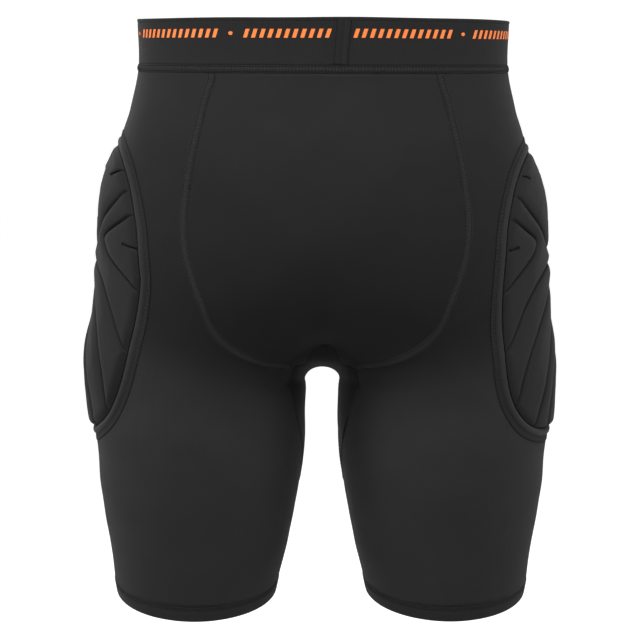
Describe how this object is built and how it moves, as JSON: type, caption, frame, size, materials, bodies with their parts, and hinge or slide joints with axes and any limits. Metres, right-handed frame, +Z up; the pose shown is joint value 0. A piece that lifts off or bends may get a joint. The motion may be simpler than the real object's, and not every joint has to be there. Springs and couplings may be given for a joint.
{
  "type": "hip pad shorts",
  "caption": "Close-fitting padded shorts with a wide elastic waistband and a long oval foam hip pad, parted by grooves, sewn on each side.",
  "frame": {"origin": "centre of the waistband, in the wearer's waist", "axes": "+Z up; -Y the way the wearer faces, so the seat is at +Y; +X the wearer's left"},
  "size_m": [0.3726, 0.2394, 0.4599],
  "materials": {
    "black_elastic": "matte ribbed elastic",
    "seam_thread": "matte stitched seam",
    "charcoal_knit": "satin stretch knit",
    "dark_knit": "matte stretch knit",
    "covered_foam": "matte knit over moulded foam"
  },
  "bodies": {
    "root": {"waistband": "black_elastic", "waistband_seam": "seam_thread", "seat_panel": "charcoal_knit", "leg_panel_left": "charcoal_knit", "leg_panel_right": "charcoal_knit", "crotch_gusset": "dark_knit", "hem_left": "seam_thread", "hem_right": "seam_thread", "hip_pad_left": "covered_foam", "hip_pad_right": "covered_foam"}
  },
  "joints": []
}
